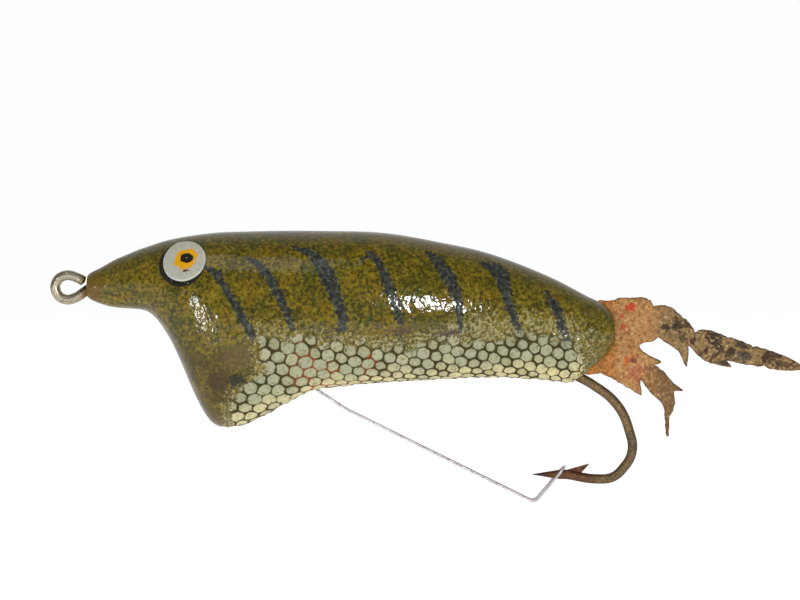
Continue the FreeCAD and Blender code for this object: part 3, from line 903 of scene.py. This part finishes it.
# the line tie's wire from its shank around the ring, as (x, z) in mm
RING_PATH = [(22.4, 0), (12.0, 0), (7.0, -0.1), (5.2, -0.45), (3.9, -1.25), (2.3, -2.3),
             (0.2, -2.95), (-1.9, -2.2), (-2.9, 0.05), (-1.95, 2.15), (0.1, 2.9), (2.0, 2.45),
             (3.3, 1.85), (4.2, 1.35)]
RING_WIRE_R = 1.22          # mm


def worn_metal(name, clean, tarnish, spots, rough, worn=(0.42, 0.6), metal=1.0, relief=0.06,
               touches=None):
    """Worn metal: clean where rubbed, tarnished elsewhere, with small spots."""
    p = Paint(name)
    grain = p.noise(p.mm, 2.6, 4.0, 0.7)
    dull = p.step(p.noise(p.mm, 0.5, 4.0, 0.65) * 0.55 + grain * 0.45, *worn)
    spotted = p.step(p.noise(p.mm, 1.5, 5.0, 0.75), 0.56, 0.66)
    shade = p.mix(spotted * 0.8, p.mix(dull, clean, tarnish), spots)
    if touches:
        shade = touches(p, shade, grain)
    rust = p.math("MAXIMUM", dull, spotted)
    return p.finish(shade, p.blend(rust, rough, rough + 0.25), p.bump(grain, relief, 0.6),
                    metal=p.blend(rust, metal, metal * 0.55))


def tie_touches(p, shade, grain):
    """Glue and rust where the line tie's shank enters the nose."""
    return p.tinted(shade, (p.split(p.mm)[0], 2.6, 4.6, 1.0, (112, 78, 32)))


def hook_touches(p, shade, grain):
    """Brass showing where the hook's flanks are rubbed, a red bend, and a bluish point."""
    x, y, z = p.split(p.mm)
    low = p.step(z, -42.0, -43.5)
    rubbed = p.step(abs(y), 0.55, 1.05) * p.step(grain, 0.42, 0.6)
    red = low * (p.step(x, 129.0, 124.0) * p.step(x, 113.5, 115.5))
    shade = p.mix(rubbed * 0.65, shade, srgb(158, 138, 98))
    shade = p.mix(red * 0.6, shade, srgb(96, 50, 34))
    return p.mix(low * p.step(x, 115.5, 113.0) * 0.8, shade, srgb(44, 48, 62))


def wood_material():
    """Bare carved wood with its grain along the body."""
    p = Paint("carved_wood")
    along = p.vector("MULTIPLY", p.mm, (0.09, 1.3, 1.3))
    grain = p.noise(along, 1.0, 4.0, 0.6, 0.4)
    shade = p.mix(p.step(grain, 0.35, 0.65), srgb(186, 142, 92), srgb(150, 104, 60))
    return p.finish(shade, 0.7, p.bump(grain, 0.08, 0.6))


class LURE_OT_wires(bpy.types.Operator):
    """Bend the line tie, and finish the hook, the weed guard and the hidden parts"""
    bl_idname = "lure.wires"
    bl_label = "Wires"

    def execute(self, context):
        look = context.scene.lure_wire
        nickel = worn_metal("nickel_wire", look.nickel, srgb(116, 104, 74), srgb(66, 54, 34), 0.3,
                            (0.5, 0.62), touches=tie_touches)
        flat = smooth_path(RING_PATH, 8)
        path = np.column_stack([flat[:, 0], np.zeros(len(flat)), flat[:, 1]])
        tie = tube("bent_line_tie", path, RING_WIRE_R, nickel)
        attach(tie, "lure")
        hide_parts("line_tie")
        hook = worn_metal("bronzed_hook", look.bronze, look.rust, srgb(40, 30, 24), 0.42,
                          (0.4, 0.56), relief=0.1, touches=hook_touches)
        spring = worn_metal("spring_wire", look.spring, srgb(150, 138, 146), srgb(86, 70, 74),
                            0.3, (0.46, 0.66), 0.4, 0.02)
        brad = worn_metal("steel_brad", srgb(150, 146, 138), srgb(104, 92, 76),
                          srgb(70, 48, 34), 0.4)
        wood = wood_material()
        for node, finish in (("hook", hook), ("weed_guard", spring), ("hook_pin", brad),
                             ("guard_pin", brad), ("body_core", wood), ("belly_filler", wood)):
            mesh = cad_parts[node].data
            mesh.materials.clear()
            mesh.materials.append(finish)
        return {"FINISHED"}


# ---------------------------------------------------------------- leather tail

# the cut outline of all the leather, as (x, z) from the upper joint with the body
TAIL_OUTLINE = [
    (127.7, -3.1), (131.2, -3.1), (132.3, -2.5), (132.6, -2.5), (136.5, -2.4), (138.8, -2.5),
    (139.9, -3.0), (140.4, -3.9), (140.7, -4.5), (141.8, -4.35), (143.4, -4.2), (145.3, -5.0),
    (147.0, -6.5), (147.9, -7.4), (148.6, -7.6), (149.5, -8.7), (150.4, -9.9), (150.6, -10.8),
    (151.6, -10.2), (152.7, -10.1), (154.4, -10.3), (158.0, -11.7), (158.3, -12.05),
    (158.9, -11.95), (161.1, -12.7), (163.9, -13.85), (164.1, -14.3), (164.7, -14.1),
    (167.5, -14.9), (170.6, -16.0), (173.4, -17.3), (175.3, -18.6), (175.8, -19.2),
    (175.2, -19.6), (172.8, -19.9), (169.9, -19.8), (167.5, -19.3), (166.6, -18.7),
    (166.1, -18.9), (162.9, -18.6), (160.1, -18.0), (158.2, -17.6), (159.1, -18.8),
    (159.1, -19.3), (157.3, -18.9), (154.1, -18.2), (152.3, -17.2), (150.6, -15.6),
    (149.1, -14.0), (149.1, -16.0), (148.8, -19.1), (148.3, -18.8), (147.5, -17.0),
    (146.7, -15.4), (145.3, -14.3), (143.5, -13.2), (141.8, -11.9), (141.2, -12.6),
    (140.4, -13.1), (138.6, -13.3), (137.2, -13.9), (137.5, -14.6), (138.3, -15.5),
    (140.0, -16.5), (142.3, -17.5), (142.6, -18.0), (141.9, -18.4), (140.7, -18.7),
    (141.8, -19.1), (143.0, -20.0), (144.4, -21.6), (145.5, -23.0), (147.7, -24.5),
    (147.7, -24.9), (145.6, -24.9), (145.9, -27.4), (145.5, -29.5), (144.4, -31.1),
    (144.3, -33.4), (144.1, -35.6), (143.6, -35.8), (143.4, -33.8), (143.3, -29.6),
    (142.6, -27.8), (140.4, -25.8), (139.0, -24.0), (137.5, -21.9), (137.7, -24.2),
    (137.9, -26.0), (137.3, -25.8), (135.8, -24.8), (132.6, -23.0), (131.2, -22.2),
    (127.9, -20.6), (125.2, -21.0), (121.5, -20.4), (120.6, -17.5), (120.9, -9.5),
    (122.0, -6.2), (124.5, -4.4)]
ROOT_FOLD = [(132.6, -2.5), (132.6, -23.0)]
CLAW_FOLD = [(141.8, -4.35), (141.8, -11.9)]
TIP_FOLD = [(150.6, -10.8), (149.1, -14.0)]
LOWER_FOLD = [(140.7, -18.7), (137.5, -21.9)]
FOLDS = (ROOT_FOLD, CLAW_FOLD, TIP_FOLD, LOWER_FOLD)
# each piece: the CAD node it stands for, a point on it, its fold, and the bodies on each side of
# its fold
LEATHER = {
    "leather_root": ("tail_root", (130, -12), None, ("lure",)),
    "leather_fan": ("tail_fan", (136, -12), ROOT_FOLD, ("lure", "fan")),
    "leather_claw": ("upper_claw", (145, -9), CLAW_FOLD, ("fan", "claw")),
    "leather_claw_tip": ("claw_tip", (160, -15), TIP_FOLD, ("claw", "tip")),
    "leather_lower_claw": ("lower_claw", (142, -23), LOWER_FOLD, ("fan", "low_claw"))}
SEED = 11                   # of the jitter in the leather's mesh
JITTER = 0.12               # shares of the mesh's step: how far a point may stray,
CLEARANCE = 0.62            # how near to the rim or a fold it may lie,
ROW_STEP = 0.866            # and how far apart the rows are
RAGGED = 0.22               # how far the cut edge strays sideways, mm
FAR_OFF = 50.0              # farther than any rim or fold matters, mm


def spaced(corners, step, ragged):
    """Points along a polyline at even steps, keeping its corners; the rest stray sideways."""
    corners = np.asarray(corners, float)
    points = []
    for start, end in zip(corners, corners[1:]):
        run = end - start
        count = max(1, round(np.linalg.norm(run) / step))
        side = np.array((-run[1], run[0])) / max(np.linalg.norm(run), 1e-9)
        for k in range(count):
            place = start + run * k / count
            stray = noise.noise(Vector((*place * 1.1, 3.0))) if 0 < k < count else 0.0
            points.append(place + side * stray * ragged)
    return np.array(points + [corners[-1]])


def flat_leather(step):
    """A triangle mesh of the whole cut leather: points, triangles, fold edges, rim edges."""
    rim = spaced(TAIL_OUTLINE + TAIL_OUTLINE[:1], step, RAGGED)[:-1]
    folds = [spaced(fold, step, 0.0) for fold in FOLDS]
    edges = [(k, (k + 1) % len(rim)) for k in range(len(rim))]
    given = list(rim)
    for fold in folds:
        ends = [int(np.argmin(np.linalg.norm(rim - point, axis=1))) for point in fold[[0, -1]]]
        chain = [ends[0], *range(len(given), len(given) + len(fold) - 2), ends[1]]
        given.extend(fold[1:-1])
        edges.extend(zip(chain, chain[1:]))
    held = np.array(given)
    rng = np.random.default_rng(SEED)
    low, high = rim.min(axis=0), rim.max(axis=0)
    row_step = step * ROW_STEP
    for row in range(int((high[1] - low[1]) / row_step) + 1):
        for column in range(int((high[0] - low[0]) / step) + 1):
            jitter = rng.uniform(-JITTER, JITTER, 2) * step
            place = low + (step * (column + 0.5 * (row % 2)), row_step * row) + jitter
            if np.linalg.norm(held - place, axis=1).min() > CLEARANCE * step:
                given.append(place)
    result = delaunay_2d_cdt([Vector(p) for p in given], edges, [list(range(len(rim)))], 1, 1e-5)
    points = np.array([tuple(p) for p in result[0]])
    kept = {tuple(sorted(edge)) for edge, source in zip(result[1], result[4]) if source}
    return points, [tuple(face) for face in result[2]], kept


def split_leather(triangles, kept):
    """Groups of triangles that are joined without crossing a fold."""
    owners = {}
    for index, face in enumerate(triangles):
        for a, b in zip(face, face[1:] + face[:1]):
            owners.setdefault(tuple(sorted((a, b))), []).append(index)
    group = [-1] * len(triangles)
    for first in range(len(triangles)):
        if group[first] >= 0:
            continue
        group[first], waiting = first, [first]
        while waiting:
            face = triangles[waiting.pop()]
            for a, b in zip(face, face[1:] + face[:1]):
                edge = tuple(sorted((a, b)))
                for other in owners[edge] if edge not in kept else ():
                    if group[other] < 0:
                        group[other] = first
                        waiting.append(other)
    rims = {edge for edge, faces in owners.items() if len(faces) == 1}
    return np.array(group), rims


def rim_distance(points, rims):
    best = np.full(len(points), FAR_OFF)
    for a, b in rims:
        near = np.linalg.norm(points - points[a], axis=1) < best
        distance, _ = segment_distance(points[near], points[a], points[b])
        best[near] = np.minimum(best[near], distance)
    return best


def leather_rise(points, rim):
    """How far the dried leather stands out of its plane, in mm."""
    x, z = points.T
    folds = np.full(len(points), FAR_OFF)
    for fold in FOLDS:
        folds = np.minimum(folds, segment_distance(points, *fold)[0])
    free = smoothstep(folds, 0.5, 4.0)
    space = [(px, 0.0, pz) for px, pz in points]
    curl = 0.75 * bumpy(space, 7.0, 1.0) + 0.3 * bumpy(space, 2.6, 2.0)
    tip = 0.05 * np.clip(x - 150.0, 0, None) ** 1.45 + 0.06 * np.clip(-27.0 - z, 0, None) ** 1.5
    lift = 0.28 * (1 - smoothstep(rim, 0.0, 2.2)) * smoothstep(bumpy(space, 3.3, 5.0), -0.4, 0.7)
    outside = smoothstep(x, 131.5, 134.5)
    return outside * (free * (curl + lift) - tip * free)


def leather_sides(points, rim, look):
    """Near and far surface points of the leather."""
    middle = leather_rise(points, rim)
    depth = np.clip(rim / 0.55, 0, 1)
    half = look.thickness / MM / 2 * np.sqrt(1 - (1 - depth) ** 2) + 0.06
    sides = []
    for sign in (NEAR, FAR):
        space = [(px, 9.0 * sign, pz) for px, pz in points]
        pits = 0.09 * bumpy(space, 1.4, 3.0) + 0.06 * bumpy(space, 0.6, 4.0)
        y = middle + sign * (half + pits * np.clip(depth, 0.2, 1))
        sides.append(np.column_stack([points[:, 0], y, points[:, 1]]))
    return sides


def leather_material(look):
    """Weathered leather: tan at the fan, drab and blotched dark along the claws."""
    p = Paint("rawhide")
    x, _, z = p.split(p.mm)
    rim = p.attribute("rim")
    broad = p.noise(p.mm, 0.22, 4.0, 0.6)
    grain = p.noise(p.mm, 1.3, 5.0, 0.7)
    fine = p.noise(p.mm, 4.0, 3.0, 0.7)
    blotch = p.noise(p.mm, 0.42, 4.0, 0.62, 0.3)
    shade = p.mix(p.step(x + broad * 6.0, 141.5, 147.0), look.tan, look.drab)
    shade = p.tinted(shade, (grain, 0.5, 0.38, 0.75, (112, 78, 44)),
                     (grain, 0.54, 0.66, 0.65, (222, 182, 128)))
    level = blotch - p.step(x, 146.0, 158.0, 0.05, 0.07)
    dark = p.step(level, 0.43, 0.35) * p.step(x, 141.0, 147.5)
    shade = p.mix(dark * p.step(grain, 0.72, 0.45, 0.45, 0.95), shade, look.dark)
    lower = p.step(z, -17.5, -20.5) * p.step(x, 137.0, 139.5)
    shade = p.mix(lower * p.step(grain, 0.6, 0.44, 0.2, 0.85), shade, srgb(118, 84, 52))
    shade = stained(p, shade, x, z, (grain - 0.5) * 3.6, LEATHER_STAINS)
    gluey = x + (broad - 0.5) * 3.0
    soaked = p.step(gluey, 132.4, 130.6) * p.step(grain, 0.3, 0.62, 0.5, 0.85)
    glue = p.mix(p.step(grain, 0.58, 0.42), look.stain, srgb(132, 80, 34))
    glue = p.tinted(glue, (fine, 0.52, 0.66, 0.5, (216, 160, 92)))
    shade = p.mix(soaked, shade, glue)
    shade = p.tinted(shade, (rim + grain * 0.5, 0.62, 0.28, 0.65, (92, 62, 36)))
    pores = grain * 0.7 + fine * 0.3
    return p.finish(shade, 0.78, p.bump(pores, 0.16, 0.8), level=0.3)


LEATHER_STAINS = [
    (135.2, -4.8, 1.1, 1.0, (190, 62, 20), 0.85), (133.1, -7.0, 0.5, 1.0, (192, 62, 36), 0.7),
    (133.4, -9.6, 0.6, 1.1, (190, 62, 36), 0.7), (135.0, -16.9, 1.5, 1.2, (184, 82, 50), 0.55),
    (136.3, -20.2, 2.4, 2.2, (172, 88, 66), 0.5), (134.3, -17.9, 0.6, 0.9, (194, 66, 34), 0.6),
    (136.0, -17.6, 0.7, 0.7, (84, 54, 48), 0.75), (136.8, -22.6, 1.2, 1.4, (160, 88, 68), 0.5),
    (139.0, -19.3, 1.4, 1.0, (128, 82, 62), 0.5), (143.5, -9.6, 0.9, 1.1, (52, 42, 34), 0.9),
    (145.4, -9.5, 0.9, 0.8, (46, 34, 28), 0.9), (147.4, -11.9, 0.8, 1.0, (54, 42, 32), 0.8),
    (149.1, -9.0, 1.2, 1.0, (58, 44, 34), 0.8), (147.7, -8.1, 0.8, 0.5, (64, 50, 38), 0.6),
    (154.8, -11.8, 2.0, 1.2, (44, 36, 32), 0.9), (155.6, -13.6, 1.3, 1.6, (48, 40, 34), 0.85),
    (161.5, -13.6, 1.6, 1.0, (48, 38, 32), 0.8), (161.8, -16.6, 2.0, 1.2, (66, 58, 56), 0.75),
    (157.0, -18.0, 1.2, 0.6, (50, 38, 28), 0.8), (168.0, -16.6, 2.6, 1.6, (70, 50, 34), 0.6),
    (171.5, -18.3, 2.6, 1.0, (62, 44, 32), 0.65)]


class LURE_OT_tail(bpy.types.Operator):
    """Cut and dry the leather tail, in five pieces split at their folds"""
    bl_idname = "lure.tail"
    bl_label = "Leather tail"

    def execute(self, context):
        look = context.scene.lure_tail
        points, triangles, kept = flat_leather(look.grid / MM)
        group, rims = split_leather(triangles, kept)
        rim = rim_distance(points, rims)
        sides = leather_sides(points, rim, look)
        material = leather_material(look)
        centres = points[np.array(triangles)].mean(axis=1)
        for name, (node, place, fold, bodies) in LEATHER.items():
            mine = group == group[np.argmin(np.linalg.norm(centres - place, axis=1))]
            piece = leather_piece(name, [triangles[k] for k in np.flatnonzero(mine)], sides,
                                  rim, material)
            if fold:
                start = np.mean(fold, axis=0)
                along = np.subtract(*fold)
                out = np.array((along[1], -along[0])) / np.linalg.norm(along)
                out *= math.copysign(1, (np.array(place) - start) @ out)
                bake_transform(piece)
            else:
                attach(piece, bodies[0])
            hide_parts(node)
        return {"FINISHED"}


def leather_piece(name, triangles, sides, rim, material):
    """One closed piece of leather from its share of the flat triangles."""
    used = sorted({corner for face in triangles for corner in face})
    place = {corner: k for k, corner in enumerate(used)}
    count = len(used)
    near = [tuple(place[c] for c in face) for face in triangles]
    first = sides[0][list(triangles[0])]
    if np.cross(first[1] - first[0], first[2] - first[0])[1] > 0:
        near = [face[::-1] for face in near]
    directed = {(a, b) for face in near for a, b in zip(face, face[1:] + face[:1])}
    open_edges = [(a, b) for a, b in directed if (b, a) not in directed]
    faces = near + [tuple(c + count for c in face[::-1]) for face in near]
    faces += [(b, a, a + count, b + count) for a, b in open_edges]
    piece = new_mesh(name, np.vstack([side[used] for side in sides]), faces, material)
    store(piece, "rim", np.tile(rim[used], 2))
    folded = {frozenset(edge) for edge in open_edges if max(rim[used[edge[0]]],
                                                            rim[used[edge[1]]]) > 0.02}
    folded |= {frozenset(c + count for c in edge) for edge in folded}
    for edge in piece.data.edges:
        edge.use_edge_sharp = frozenset(edge.vertices) in folded
    return piece


# ---------------------------------------------------------------- panel and start

SETTINGS = {"lure_skin": LureSkinSettings, "lure_eye": LureEyeSettings,
            "lure_wire": LureWireSettings, "lure_tail": LureTailSettings,
            "lure_stage": LureStageSettings}
OPERATORS = (LURE_OT_stage, LURE_OT_skin, LURE_OT_eyes, LURE_OT_wires, LURE_OT_tail)


class LURE_PT_panel(bpy.types.Panel):
    bl_idname = "LURE_PT_panel"
    bl_label = "Carved lure"
    bl_space_type = "VIEW_3D"
    bl_region_type = "UI"
    bl_category = "Lure"

    def draw(self, context):
        for name, group in SETTINGS.items():
            box = self.layout.box()
            for key in group.__annotations__:
                box.prop(getattr(context.scene, name), key)
        for operator in OPERATORS:
            self.layout.operator(operator.bl_idname)


def register():
    for cls in (*SETTINGS.values(), *OPERATORS, LURE_PT_panel):
        bpy.utils.register_class(cls)
    for name, group in SETTINGS.items():
        setattr(bpy.types.Scene, name, bpy.props.PointerProperty(type=group))


def unregister():
    for name in SETTINGS:
        delattr(bpy.types.Scene, name)
    for cls in reversed((*SETTINGS.values(), *OPERATORS, LURE_PT_panel)):
        bpy.utils.unregister_class(cls)


def main():
    register()
    for operator in OPERATORS:
        group, name = operator.bl_idname.split(".")
        getattr(getattr(bpy.ops, group), name)()


if __name__ == "__main__":
    main()
